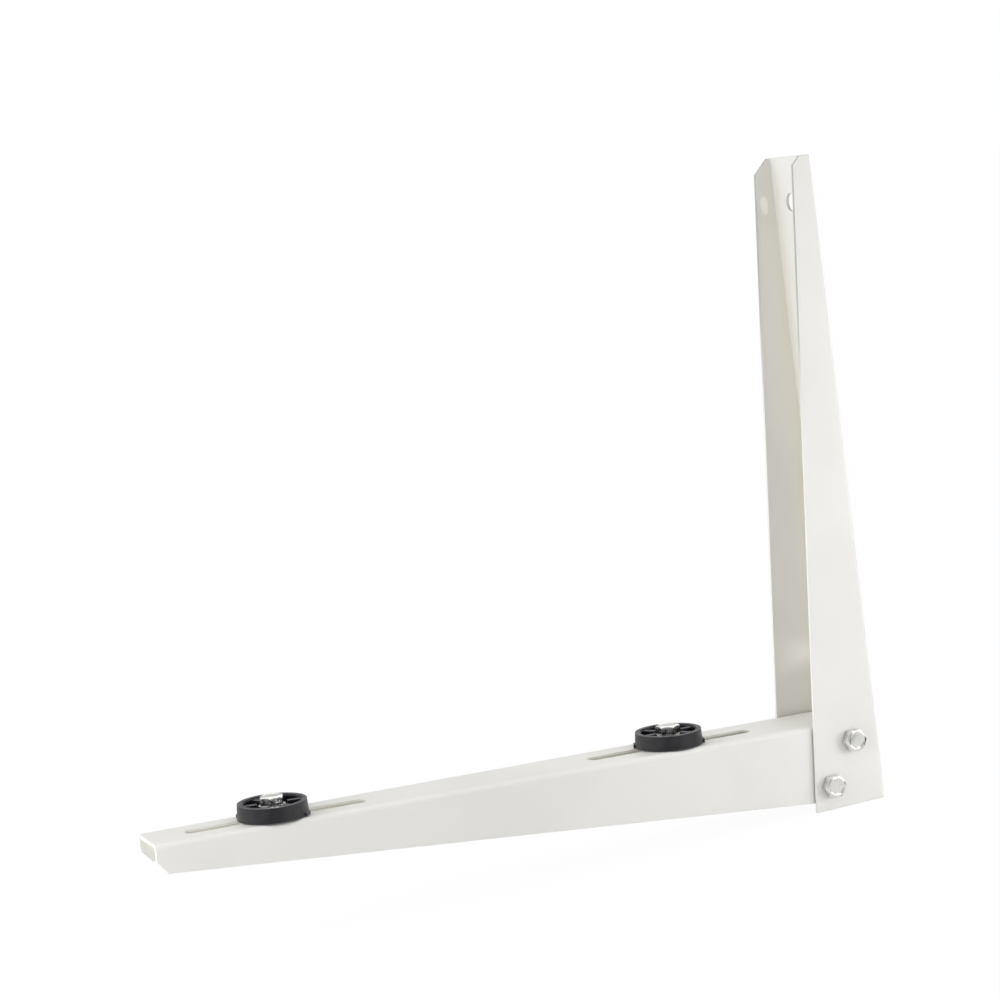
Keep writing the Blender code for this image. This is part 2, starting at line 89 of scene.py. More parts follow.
# How far the crests stay inside the shank, how much thinner the tip is than the thread's bottom,
# and the plain part under the head, as a share of the shank and at most
THREAD_PLAY = 0.00005
TIP_STEP = 0.0001
PLAIN_SHARE = 0.35
PLAIN_LONGEST = 0.008

# A noise is (scale per metre, detail, roughness, stretch). A pattern is (noise, values, fade): it
# goes from one value to the other as the noise goes through the fade. A gloss's values are added
# to the roughness
COAT_CLOUDS = ((14.0, 2.0), (0.0, 1.0), (0.42, 0.68))
COAT_SPECKS = ((1400.0, 2.0), (0.0, 0.10), (0.66, 0.76))
COAT_GLOSS = ((60.0, 3.0), (-0.03, 0.05), (0.3, 0.7))
ZINC_CLOUDS = ((330.0, 4.0, 0.6), (0.0, 0.45), (0.42, 0.70))
ZINC_GLOSS = ((700.0, 3.0, 0.6), (-0.04, 0.08), (0.3, 0.7))
RUBBER_BLOOM = ((120.0, 4.0, 0.6), (0.0, 0.55), (0.45, 0.75))
RUBBER_GLOSS = ((260.0, 3.0), (-0.06, 0.12), (0.35, 0.70))

# Relief, as layers of (noise, height in metres, strength)
COAT_RELIEF = (((620.0, 2.0), 0.00003, 0.35), ((95.0, 1.0), 0.00010, 0.12))
ZINC_RELIEF = (((900.0, 2.0, 0.5, (1, 1, 7)), 0.000006, 0.20), ((260.0, 1.0), 0.00002, 0.20))
RUBBER_RELIEF = (((2600.0, 2.0), 0.00004, 0.35), ((260.0, 2.0), 0.00008, 0.20))

# Each coat's main and second tone
COAT_TONES = {
    "warm_white_powder_coat": ("paint", "paint_shade"),
    "powder_coat_on_cut_edges": ("lower_edge_highlight", "upper_edge_tone"),
    "powder_coat_in_slots": ("slot_shade", "paint"),
}

# Where the colour changes on the upright's cut edges: levels, from a paler, yellower painted
# highlight low down to a darker, greyer top
EDGE_TONE_LEVELS = (0.02, 0.13)
# Depths in the arm's slots, below which the walls carry painted shade
SLOT_SHADE_DEPTHS = (0.0021, 0.0011)

# How far the painted warm bounce light in folds reaches, and where it fades in
FOLD_REACH = 0.045
FOLD_FADE = (0.35, 0.80)
# How far the painted shade in crevices reaches, where it fades in, and how strong it is at most
CREVICE_REACH = 0.0028
CREVICE_FADE = (0.20, 0.62)
CREVICE_SHARE = 0.75
CREVICE_SAMPLES = 8

# Worn edges on the coat, and a painted highlight on the rubber's edges, as (reach, tone
# against a colour of the finish, share), and where they fade in
COAT_WEAR = (0.0006, 0.80, 0.30)
RUBBER_EDGE_HIGHLIGHT = (0.0005, 12.0, 0.70)
EDGE_FADE = (0.80, 0.99)
EDGE_SAMPLES = 6
SPECK_TONE = 0.86

# Specular levels of the coat and the rubber
COAT_SPECULAR = 0.45
RUBBER_SPECULAR = 0.42

# Cut faces are told from the others by how much of their normal points along the cut, and by
# their place: shares of the sheet's thickness for the web and the cheeks, and of a slot's width
CUT_FACING = 0.7
EDGE_FACING = 0.5
WEB_SHARE = 0.99
CHEEK_SHARE = 1.5
SLOT_SHARE = 0.55

# Lamps, as (name, place, target, size, setting of its power, whether it shows in reflections)
LAMPS = (
    ("key_lamp", (-0.605, 1.55, 0.208), (0.05, 0.0, 0.0), (0.05, 0.05), "key", True),
    ("tip_softbox", (0.78, 0.14, -0.04), (0.42, 0.0, -0.145), (0.30, 0.06), "tip_box", False),
    ("tip_fill", (0.60, 0.0, -0.17), (0.45, 0.0, -0.15), (0.06, 0.06), "tip_fill", False),
    ("wall_softbox", (-0.45, 0.42, -0.08), (0.02, 0.0, -0.16), (0.3, 0.3), "wall_box", False),
    ("high_softbox", (-0.5, 1.1, 0.9), (0.2, 0.0, -0.14), (0.5, 0.5), "high_box", True),
)

# Sides of the studio's light, as (direction, start, full), the last two as cosines
TIP_LOBE = ((1, 0, 0), 0.45, 1.0)
OVERHEAD_LOBE = ((0, 0, 1), 0.45, 1.0)
WALL_SHINE_LOBE = ((-1, 0, 0), 0.3, 1.0)
SIDE_LOBES = {
    "far_side": ((0.80, -0.58, 0.15), 0.60, 1.0),
    "wall_side": ((-1, 0, 0), 0.5, 1.0),
    "backdrop": ((0, -1, 0), 0.3, 0.9),
    "back_top": ((-0.35, -0.62, 0.70), 0.78, 0.96),
}

# The floor's glow is centred below the bracket, and the dark card lies beside the bracket's foot,
# between two limits in X and two in Y
GLOW_CENTRE = (0.15, 0.1)
DARK_CARD_LIMITS = (-0.30, -0.05, -0.15, 0.16)
DARK_CARD_RISE = 0.0002
DARK_CARD_COLOUR = (0.02, 0.02, 0.02, 1)
DARK_CARD_ROUGHNESS = 0.8
WHITE = (1, 1, 1, 1)
CAMERA_CLIP = (0.05, 100)


# Settings


def length(name, description, default):
    """A length property in metres."""
    return FloatProperty(
        name=name, description=description, default=default, min=0.0, unit="LENGTH", precision=5
    )


def angle(name, description, degrees):
    """An angle property, given in degrees."""
    return FloatProperty(
        name=name, description=description, default=math.radians(degrees), subtype="ANGLE"
    )


def share(name, description, default):
    """A property between nought and one."""
    return FloatProperty(
        name=name, description=description, default=default, min=0.0, max=1.0, subtype="FACTOR"
    )


def colour(name, description, default):
    """A linear colour property."""
    return FloatVectorProperty(
        name=name, description=description, default=default, min=0.0, max=1.0, subtype="COLOR"
    )


def strength(name, description, default):
    """A strength of light."""
    return FloatProperty(name=name, description=description, default=default, min=0.0)


class UprightSizes(bpy.types.PropertyGroup):
    """Sizes of the channel that lies on the wall."""

    height: length("Height", "From the foot to the top", 0.400)
    width: length("Width", "Over both cheeks", 0.050)
    top_depth: length("Depth at the top", "From the wall to the cheeks' front edge", 0.0128)
    foot_depth: length("Depth at the foot", "From the wall to the cheeks' front edge", 0.0492)
    sheet: length("Sheet", "Thickness of the steel", 0.002)
    bend: length("Bend", "Outside radius of the folds", 0.003)
    right_chamfer: length("Right chamfer", "Cut off the right cheek's front top corner", 0.005)
    left_chamfer: length("Left chamfer", "Cut off the left cheek's front top corner", 0.009)
    anchor_length: length("Anchor slot length", "End to end, across the web", 0.018)
    anchor_width: length("Anchor slot width", "Height of the slot", 0.011)
    upper_anchor: length("Upper anchor", "From the top to the middle of the slot", 0.028)
    lower_anchor: length("Lower anchor", "From the foot to the middle of the slot", 0.092)


class ArmSizes(bpy.types.PropertyGroup):
    """Sizes of the channel that carries the unit."""

    length: length("Length", "From the root to the tip", 0.457)
    rise: angle("Rise", "How far the arm points above level", 2.5)
    root_reach: length("Root reach", "From the wall to the arm's root", 0.004)
    root_level: length("Root level", "From the upright's foot to the web's top at the root", 0.0513)
    root_width: length("Root width", "Over both cheeks at the root", 0.0454)
    tip_width: length("Tip width", "Over both cheeks at the tip", 0.0378)
    root_depth: length("Root depth", "From the web's top to the cheeks' edge", 0.0508)
    tip_depth: length("Tip depth", "From the web's top to the cheeks' edge", 0.0168)
    sheet: length("Sheet", "Thickness of the steel", 0.002)
    bend: length("Bend", "Outside radius of the folds", 0.003)
    chamfer_length: length("Tip chamfer length", "Along the arm", 0.0058)
    chamfer_height: length("Tip chamfer height", "Up the cheek", 0.0070)
    slot_length: length("Slot length", "End to end", 0.110)
    slot_width: length("Slot width", "Across the slot", 0.010)
    inner_slot: length("Inner slot", "From the root to the middle of the slot", 0.1275)
    outer_slot: length("Outer slot", "From the root to the middle of the slot", 0.3795)


class FastenerSizes(bpy.types.PropertyGroup):
    """Sizes of the hexagon bolts, nuts and washers."""

    shank: length("Shank", "Outside diameter of the thread", 0.008)
    core: length("Core", "Diameter at the bottom of the thread", 0.0066)
    pitch: length("Pitch", "Rise of the thread in one turn", 0.00125)
    across_flats: length("Across flats", "Width of the hexagons", 0.013)
    head: length("Head", "Height of a bolt's head", 0.0053)
    hollow: length("Hollow", "Depth of the hollow in a head's face", 0.0005)
    hollow_radius: length("Hollow radius", "Radius of the hollow in a head's face", 0.0051)
    nut: length("Nut", "Height of a nut", 0.0065)
    hole: length("Hole", "Diameter of the holes for the bolts", 0.009)
    washer: length("Washer", "Outside diameter of a washer", 0.016)
    washer_sheet: length("Washer sheet", "Thickness of a washer", 0.0016)
    slot_washer: length("Slot washer", "Outside diameter of a washer under a slot", 0.024)
    slot_washer_sheet: length("Slot washer sheet", "Thickness of that washer", 0.002)
    upper_reach: length("Upper bolt reach", "From the wall", 0.0189)
    upper_level: length("Upper bolt level", "Above the foot", 0.0404)
    lower_reach: length("Lower bolt reach", "From the wall", 0.0365)
    lower_level: length("Lower bolt level", "Above the foot", 0.0148)
    damper_spare: length("Damper spare", "Thread that shows past a damper's nut", 0.0055)
    edge: length("Edge", "Rounding of the edges", 0.00018)


class DamperSizes(bpy.types.PropertyGroup):
    """Sizes of the moulded rubber dampers."""

    height: length("Height", "From the foot to the rim's top", 0.009)
    rim_radius: length("Rim radius", "Outside radius at the top", 0.0202)
    foot_radius: length("Foot radius", "Outside radius at the foot", 0.0209)
    rim_wall: length("Rim wall", "Thickness of the rim at its top", 0.0028)
    hub_height: length("Hub height", "From the foot to the hub's face", 0.005)
    hub_play: length("Hub play", "From the washer to the ends of the spokes", 0.001)
    spoke_step: length("Spoke step", "From the spokes' ends in to the pockets", 0.0004)
    spoke_drop: length("Spoke drop", "From the rim's top down to the spokes", 0.0008)
    floor: length("Floor", "Rubber left under the pockets", 0.002)
    spoke_width: length("Spoke width", "Width of a spoke", 0.0034)
    pocket_ledge: length("Pocket ledge", "From the rim's inside to the pockets", 0.0005)
    lug_width: length("Lug width", "Width of a foot lug", 0.006)
    lug_height: length("Lug height", "Height of a foot lug", 0.0022)
    lug_reach: length("Lug reach", "How far a lug stands out of the foot", 0.0009)
    edge: length("Edge", "Rounding of the edges", 0.00032)
    spokes: IntProperty(name="Spokes", description="Spokes of a damper", default=6, min=3)
    inner_shift: length("Inner shift", "From the slot's middle to the inner damper", 0.0)
    outer_shift: length("Outer shift", "From the slot's middle to the outer damper", 0.002)
    inner_turn: angle("Inner turn", "How the inner damper is turned", 66)
    outer_turn: angle("Outer turn", "How the outer damper is turned", 52)
    inner_bolt_turn: angle("Inner bolt turn", "How the inner damper's bolt is turned", 32)
    outer_bolt_turn: angle("Outer bolt turn", "How the outer damper's bolt is turned", 8)


class Finishes(bpy.types.PropertyGroup):
    """Colours and surfaces."""

    paint: colour("Paint", "Warm white powder coat", (0.815, 0.805, 0.775))
    paint_shade: colour("Paint shade", "Thinner, cooler patches of the coat", (0.780, 0.772, 0.748))
    # Cut edges: darker and greyer towards the top of the upright, and lower down a paler, yellower
    # painted highlight
    upper_edge_tone: colour("Thin paint", "Coat on the upper cut edges", (0.430, 0.425, 0.400))
    lower_edge_highlight: colour("Edge paint", "Coat on the lower cut edges", (0.850, 0.840, 0.785))
    # Painted warm bounce light inside the folds
    painted_fold_bounce: colour("Hollow paint", "Warmer coat inside the folds", (0.865, 0.842, 0.735))
    # Painted shade where pieces meet
    crevice_shade: colour("Crevice", "Dust and shade where pieces meet", (0.300, 0.290, 0.260))
    # Painted shade on the lower part of the slots' walls
    slot_shade: colour("Slot paint", "Torn lower part of the slots' walls", (0.100, 0.097, 0.085))
    paint_roughness: share("Paint roughness", "Satin powder coat", 0.38)
    sheet_edge: length("Sheet edge", "Rounding of the painted cut edges", 0.00028)
    zinc: colour("Zinc", "Bright zinc plate", (0.800, 0.795, 0.775))
    zinc_shade: colour("Zinc shade", "Duller zinc plate", (0.620, 0.615, 0.600))
    zinc_roughness: share("Zinc roughness", "Roughness of the plated steel", 0.20)
    rubber: colour("Rubber", "Black rubber", (0.009, 0.009, 0.011))
    # Pale bloom on the rubber; toned up, it is also the painted highlight on the rubber's edges
    rubber_bloom: colour("Rubber bloom", "Pale bloom on the rubber", (0.021, 0.022, 0.027))
    rubber_roughness: share("Rubber roughness", "Half matt moulded rubber", 0.34)


class StageSettings(bpy.types.PropertyGroup):
    """Floor, lamps and camera."""

    floor_size: length("Floor size", "Side of the floor", 30.0)
    floor_drop: length("Floor drop", "From the bracket's foot to the floor", 0.0004)
    floor_colour: colour("Floor colour", "Pale floor", (0.66, 0.66, 0.66))
    floor_white: share("Floor white", "How much of the floor is plain white to the camera", 0.965)
    sky: strength("Sky", "Even light from all round", 0.08)
    shine: strength("Shine", "Extra even light that only shows in reflections", 0.38)
    tip_side: strength("Tip side", "Light from where the arm points", 1.4)
    far_side: strength("Far side", "Light from beyond the left cheek, off the tip", 0.8)
    overhead: strength("Overhead", "Light from above", 1.2)
    lobe_shine: share("Lobe shine", "Share of tip side and overhead light in reflections", 0.65)
    wall_shine: strength("Wall shine", "Extra wall side light that only shows in reflections", 1.2)
    wall_side: strength("Wall side", "Light from behind the wall's plane", 0.3)
    backdrop: strength("Backdrop", "Light from behind the bracket", 0.1)
    back_top: strength("Back top", "Light from high up behind the bracket", 0.2)
    key: strength("Key", "Power of the key lamp in watts", 3.3)
    tip_box: strength("Tip softbox", "Power of the softbox off the arm's tip in watts", 0.72)
    tip_fill: strength("Tip fill", "Power of the small lamp that looks into the tip in watts", 0.06)
    wall_box: strength("Wall softbox", "Power of the softbox beside the wall in watts", 1.8)
    high_box: strength("High softbox", "Power of the softbox over the viewer's right in watts", 0.9)
    glow: strength("Glow", "Light that the floor gives off round the bracket", 0.2)
    glow_reach: length("Glow reach", "Radius of the floor's lit part", 0.6)
    camera_place: FloatVectorProperty(
        name="Camera place", description="Where the camera stands", subtype="TRANSLATION",
        unit="LENGTH", precision=5, default=(0.797339, 1.444072, 0.225588),
    )
    camera_turn: FloatVectorProperty(
        name="Camera turn", description="How the camera is turned", subtype="EULER",
        precision=5, default=(1.440895, 0.132584, 2.744056),
    )
    lens: FloatProperty(
        name="Lens", description="Focal length in millimetres", default=95.7167, min=1.0
    )


# Meshes


def new_object(name, data, place=None):
    """Add an object to the scene, placed by a matrix."""
    piece = bpy.data.objects.new(name, data)
    bpy.context.scene.collection.objects.link(piece)
    if place is not None:
        piece.matrix_world = place
    return piece


def remove_objects(*pieces):
    """Remove helper objects."""
    for piece in pieces:
        bpy.data.objects.remove(piece, do_unlink=True)


def mesh_from_bmesh(name, bm):
    """Store a bmesh as a mesh and free it."""
    mesh = bpy.data.meshes.new(name)
    bm.normal_update()
    bm.to_mesh(mesh)
    bm.free()
    return mesh


def applied_mesh(piece, name):
    """The mesh that an object's modifiers make."""
    bpy.context.view_layer.update()
    evaluated = piece.evaluated_get(bpy.context.evaluated_depsgraph_get())
    mesh = bpy.data.meshes.new_from_object(evaluated)
    mesh.name = name
    return mesh


def evaluated_mesh(piece, name):
    """The mesh that an object's modifiers make, with doubled points merged."""
    mesh = applied_mesh(piece, name)
    bm = bmesh.new()
    bm.from_mesh(mesh)
    bmesh.ops.remove_doubles(bm, verts=bm.verts, dist=MERGE_DISTANCE)
    bmesh.ops.dissolve_degenerate(bm, edges=bm.edges, dist=MERGE_DISTANCE)
    bm.to_mesh(mesh)
    bm.free()
    return mesh


def finished_mesh(piece, name, edge, segments=2):
    """Apply an object's modifiers, round its sharp edges and shade it smooth. It is removed."""
    rough = evaluated_mesh(piece, name + "_rough")
    remove_objects(piece)
    rough.shade_smooth()
    carrier = new_object(name + "_rough", rough)
    if edge > 0:
        bevel = carrier.modifiers.new("rounded edges", "BEVEL")
        bevel.width = edge
        bevel.segments = segments
        bevel.limit_method = "ANGLE"
        bevel.angle_limit = BEVEL_ANGLE
        bevel.use_clamp_overlap = True
        bevel.miter_outer = "MITER_ARC"
    mesh = evaluated_mesh(carrier, name + "_rounded")
    remove_objects(carrier)
    return flattened(mesh, name)


def flattened(mesh, name):
    """Shade large faces flat and let the small rounded ones between them carry the turn."""
    carrier = new_object(name + "_shaded", mesh)
    weighted = carrier.modifiers.new("flat faces stay flat", "WEIGHTED_NORMAL")
    weighted.keep_sharp = True
    weighted.weight = FLAT_WEIGHT
    finished = applied_mesh(carrier, name)
    remove_objects(carrier)
    return finished


def add_boolean(piece, tool, operation):
    """Cut, join or intersect with a tool."""
    modifier = piece.modifiers.new(operation.lower() + " " + tool.name, "BOOLEAN")
    modifier.operation = operation
    modifier.solver = "EXACT"
    modifier.object = tool


def cut_mesh(piece, tools, name, edge, operation="DIFFERENCE"):
    """Cut a piece with tools and finish its mesh. The piece and the tools are removed."""
    for tool in tools:
        add_boolean(piece, tool, operation)
    mesh = finished_mesh(piece, name, edge)
    remove_objects(*tools)
    return mesh


def turned(name, profile, steps=TURNED_STEPS, closed=True):
    """Turn a profile of (radius, height) points about Z, outer side first and downwards."""
    points = [(radius, 0, height) for radius, height in profile]
    edges = [(i, i + 1) for i in range(len(points) - 1)]
    if closed:
        edges.append((len(points) - 1, 0))
    mesh = bpy.data.meshes.new(name)
    mesh.from_pydata(points, edges, [])
    piece = new_object(name, mesh)
    screw = piece.modifiers.new("turn", "SCREW")
    screw.axis = "Z"
    screw.steps = steps
    screw.render_steps = steps
    screw.use_merge_vertices = True
    screw.merge_threshold = MERGE_DISTANCE
    return piece


def plate(name, outlines, bottom, top):
    """Fill flat outlines and give them a thickness from bottom to top."""
    curve = bpy.data.curves.new(name, "CURVE")
    curve.dimensions = "2D"
    curve.fill_mode = "BOTH"
    curve.extrude = (top - bottom) / 2
    for outline in outlines:
        spline = curve.splines.new("POLY")
        spline.points.add(len(outline) - 1)
        for point, (x, y) in zip(spline.points, outline):
            point.co = (x, y, 0, 1)
        spline.use_cyclic_u = True
    flat = new_object(name, curve)
    mesh = evaluated_mesh(flat, name)
    remove_objects(flat)
    mesh.transform(Matrix.Translation((0, 0, (top + bottom) / 2)))
    return new_object(name, mesh)


def cylinder(name, radius, depth, steps, place):
    """A plain cylinder along its own Z, centred on its place."""
    bm = bmesh.new()
    bmesh.ops.create_cone(
        bm, cap_ends=True, segments=steps, radius1=radius, radius2=radius, depth=depth
    )
    return new_object(name, mesh_from_bmesh(name, bm), place)


def arc(centre_x, centre_y, radius, start, end, steps):
    """Points on an arc, both ends included."""
    angles = [start + (end - start) * i / steps for i in range(steps + 1)]
    return [(centre_x + radius * math.cos(a), centre_y + radius * math.sin(a)) for a in angles]


def slot_outline(long, wide):
    """A slot with round ends, long in its first direction."""
    half = (long - wide) / 2
    right = arc(half, 0, wide / 2, -math.pi / 2, math.pi / 2, HOLE_STEPS // 2)
    left = arc(-half, 0, wide / 2, math.pi / 2, 3 * math.pi / 2, HOLE_STEPS // 2)
    return right + left


def folded_channel(name, sections, bend, sheet, point):
    """Fold a tapered channel. Sections are (along, width, depth), and point places a corner."""
    bm = bmesh.new()
    rows = []
    for along, width, depth in sections:
        side = width / 2
        right = arc(side - bend, bend, bend, 0, -math.pi / 2, BEND_STEPS)
        left = arc(-side + bend, bend, bend, -math.pi / 2, -math.pi, BEND_STEPS)
        outline = [(side, depth), *right, *left, (-side, depth)]
        rows.append([bm.verts.new(point(along, across, down)) for across, down in outline])
    for first, second in zip(rows, rows[1:]):
        for i in range(len(first) - 1):
            bm.faces.new((first[i], first[i + 1], second[i + 1], second[i]))
    piece = new_object(name, mesh_from_bmesh(name, bm))
    solidify = piece.modifiers.new("sheet", "SOLIDIFY")
    solidify.thickness = sheet
    solidify.offset = -1
    solidify.use_even_offset = True
    return piece


def corner_prism(name, points, half_width, middle):
    """A prism across Y whose side view is the outline of (x, z) points."""
    piece = plate(name, [[(x, -z) for x, z in points]], -half_width, half_width)
    piece.matrix_world = Matrix.Translation((0, middle, 0)) @ Matrix.Rotation(-math.pi / 2, 4, "X")
    return piece


def arm_place(scene):
    """Where the arm's own frame stands."""
    arm = scene.bracket_arm
    foot = -scene.bracket_upright.height / 2
    root = Vector((arm.root_reach, 0, foot + arm.root_level))
    return Matrix.Translation(root) @ Matrix.Rotation(-arm.rise, 4, "Y")


def damper_place(scene, along, height, turn):
    """A place on the arm, at a height over its web and turned about its upright direction."""
    raised = Matrix.Translation((along, 0, height))
    return arm_place(scene) @ raised @ Matrix.Rotation(turn, 4, "Z")


def corner_bolt_places(scene):
    """The corner bolts, as (name, reach from the wall, level)."""
    sizes = scene.bracket_fasteners
    foot = -scene.bracket_upright.height / 2
    return (
        ("upper", sizes.upper_reach, foot + sizes.upper_level),
        ("lower", sizes.lower_reach, foot + sizes.lower_level),
    )


def corner_drills(scene):
    """Cylinders that drill the corner bolts' holes through all the cheeks."""
    depth = scene.bracket_upright.width + 2 * CUT_OVERRUN
    across = Matrix.Rotation(math.pi / 2, 4, "X")
    radius = scene.bracket_fasteners.hole / 2
    return [
        cylinder(name + "_drill", radius, depth, HOLE_STEPS, Matrix.Translation((x, 0, z)) @ across)
        for name, x, z in corner_bolt_places(scene)
    ]


def damper_places(scene):
    """Each damper, as (name, place along the arm, damper's turn, bolt's turn)."""
    arm = scene.bracket_arm
    sizes = scene.bracket_dampers
    return (
        ("inner", arm.inner_slot + sizes.inner_shift, sizes.inner_turn, sizes.inner_bolt_turn),
        ("outer", arm.outer_slot + sizes.outer_shift, sizes.outer_turn, sizes.outer_bolt_turn),
    )


def flat_sheet(name, x_low, x_high, y_low, y_high, level):
    """A level rectangle from its limits in X and Y."""
    bm = bmesh.new()
    corners = ((x_low, y_low), (x_high, y_low), (x_high, y_high), (x_low, y_high))
    bm.faces.new([bm.verts.new((x, y, level)) for x, y in corners])
    return new_object(name, mesh_from_bmesh(name, bm))


def dress(name, mesh, place, body, node, material):
    """Set a finished piece on its body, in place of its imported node."""
    if not mesh.materials:
        mesh.materials.append(material)
    piece = new_object(name, mesh, place)
    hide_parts(node)
    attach(piece, body)


# Finishes


def node_tree(owner):
    """The cleared node tree of a material or a world."""
    owner.use_nodes = True
    owner.node_tree.nodes.clear()
    return owner.node_tree


def add_node(tree, kind, inputs, **settings):
    """Add a node with its settings. Its inputs are linked to sockets or set to plain values."""
    node = tree.nodes.new("ShaderNode" + kind)
    for name, value in settings.items():
        setattr(node, name, value)
    for key, value in inputs.items():
        if isinstance(value, bpy.types.NodeSocket):
            tree.links.new(value, node.inputs[key])
        else:
            node.inputs[key].default_value = value
    return node


def object_place(tree):
    """The shaded point in the piece's own coordinates, in metres."""
    return add_node(tree, "TexCoord", {}).outputs["Object"]


def noise(tree, scale, detail=3.0, roughness=0.5, stretch=(1, 1, 1)):
    """Noise over the piece's own coordinates."""
    mapping = add_node(tree, "Mapping", {"Vector": object_place(tree), "Scale": stretch})
    place = mapping.outputs["Vector"]
    inputs = {"Vector": place, "Scale": scale, "Detail": detail, "Roughness": roughness}
    return add_node(tree, "TexNoise", inputs).outputs["Fac"]


def ramp(tree, factor, low, high, start, end):
    """Fade from a low to a high value as the factor goes from start to end."""
    inputs = {"Value": factor, "From Min": start, "From Max": end, "To Min": low, "To Max": high}
    return add_node(tree, "MapRange", inputs, interpolation_type="SMOOTHSTEP").outputs["Result"]


def blend(tree, factor, first, second):
    """Mix two colours, each a colour or a socket."""
    node = add_node(tree, "Mix", {"Factor": factor}, data_type="RGBA")
    for socket, value in (("A", first), ("B", second)):
        target = next(s for s in node.inputs if s.name == socket and s.type == "RGBA")
        if isinstance(value, bpy.types.NodeSocket):
            tree.links.new(value, target)
        else:
            target.default_value = (*value, 1.0)
    return next(s for s in node.outputs if s.type == "RGBA")


def relief(tree, layers):
    """Lay bumps over each other, each as (noise, height in metres, strength)."""
    inputs = {}
    for grain, distance, amount in layers:
        inputs |= {"Height": noise(tree, *grain), "Distance": distance, "Strength": amount}
        inputs["Normal"] = add_node(tree, "Bump", inputs).outputs["Normal"]
    return inputs["Normal"]


def pattern(tree, grain, values, fade, base=0.0):
    """A noise that fades from one value to another, both counted from a base."""
    low, high = values
    return ramp(tree, noise(tree, *grain), base + low, base + high, *fade)


def dot_product(tree, first, second):
    """The dot product of two vectors, each a vector or a socket."""
    node = add_node(tree, "VectorMath", {0: first, 1: second}, operation="DOT_PRODUCT")
    return node.outputs["Value"]


def closed_in(tree, reach, start, end, local):
    """One where other surfaces stand within a reach, nought in the open."""
    inputs = {"Distance": reach}
    settings = {"samples": CREVICE_SAMPLES, "only_local": local}
    node = add_node(tree, "AmbientOcclusion", inputs, **settings)
    return ramp(tree, node.outputs["AO"], 1.0, 0.0, start, end)


def math_node(tree, operation, first, second):
    """Work out one operation on two sockets or numbers."""
    return add_node(tree, "Math", {0: first, 1: second}, operation=operation).outputs["Value"]


def times(tree, factor, amount):
    """A factor times a number or another factor."""
    return math_node(tree, "MULTIPLY", factor, amount)


def mix_shaders(tree, factor, first, second):
    """Mix the shaders of two nodes."""
    inputs = {0: factor, 1: first.outputs[0], 2: second.outputs[0]}
    return add_node(tree, "MixShader", inputs).outputs["Shader"]


def toned(tone, amount):
    """A colour made darker or paler by one amount."""
    return tuple(channel * amount for channel in tone)


def edge_wear_and_highlight(tree, skin, edge_colour, reach, tone, amount):
    """A finish with another colour, toned, on convex and concave edges within a reach. On the
    coat it is wear, on the rubber a painted highlight.
    """
    bevel = add_node(tree, "Bevel", {"Radius": reach}, samples=EDGE_SAMPLES)
    geometry = add_node(tree, "NewGeometry", {})
    agreement = dot_product(tree, bevel.outputs["Normal"], geometry.outputs["Normal"])
    edges = times(tree, ramp(tree, agreement, 1.0, 0.0, *EDGE_FADE), amount)
    return blend(tree, edges, skin, toned(edge_colour, tone))


def height_share(tree, low, high):
    """Nought below a level of the piece, one above a higher level."""
    place = add_node(tree, "SeparateXYZ", {"Vector": object_place(tree)})
    return ramp(tree, place.outputs["Z"], 0.0, 1.0, low, high)


def arm_depth_share(tree, low, high):
    """Nought at a depth below the top of the arm's web, one at a lesser depth."""
    place = arm_place(bpy.context.scene)
    up = (place.to_3x3() @ Vector((0, 0, 1))).normalized()
    top = up.dot(place.to_translation())
    level = dot_product(tree, object_place(tree), up)
    return ramp(tree, level, 0.0, 1.0, top - low, top - high)


def shaded_material(name, inputs_of):
    """A material whose shader has the inputs that a function works out in its tree."""
    material = bpy.data.materials.new(name)
    tree = node_tree(material)
    shader = add_node(tree, "BsdfPrincipled", inputs_of(tree))
    add_node(tree, "OutputMaterial", {"Surface": shader.outputs["BSDF"]})
    return material


def coat_inputs(tree, name, finishes):
    """Satin powder coat of two tones, with fine orange peel and slightly thinner edges. The skin
    has clouds of its second tone. On cut edges it turns darker and greyer towards the top of the
    upright and carries a paler, yellower painted highlight lower down, and in the arm's slots it
    is full at the top with painted shade below. Folds carry painted warm bounce light, and
    crevices painted shade."""
    main, second = (getattr(finishes, tone) for tone in COAT_TONES[name])
    # Cut edges turn darker and greyer towards the top, with a painted highlight lower down
    if name == "powder_coat_on_cut_edges":
        patches = height_share(tree, *EDGE_TONE_LEVELS)
    # In the slots, painted shade darkens the walls below the top
    elif name == "powder_coat_in_slots":
        patches = arm_depth_share(tree, *SLOT_SHADE_DEPTHS)
    else:
        patches = pattern(tree, *COAT_CLOUDS)
    coat = blend(tree, patches, main, second)
    specks = pattern(tree, *COAT_SPECKS)
    coat = blend(tree, specks, coat, toned(finishes.paint_shade, SPECK_TONE))
    coat = edge_wear_and_highlight(tree, coat, finishes.paint_shade, *COAT_WEAR)
    # Painted warm bounce light in the folds
    fold_bounce_mask = closed_in(tree, FOLD_REACH, *FOLD_FADE, True)
    coat = blend(tree, fold_bounce_mask, coat, finishes.painted_fold_bounce)
    # Painted shade in crevices where pieces meet
    crevice_shade_mask = times(tree, closed_in(tree, CREVICE_REACH, *CREVICE_FADE, False), CREVICE_SHARE)
    return {
        "Base Color": blend(tree, crevice_shade_mask, coat, finishes.crevice_shade),
        "Roughness": pattern(tree, *COAT_GLOSS, finishes.paint_roughness),
        "Specular IOR Level": COAT_SPECULAR,
        "Normal": relief(tree, COAT_RELIEF),
    }


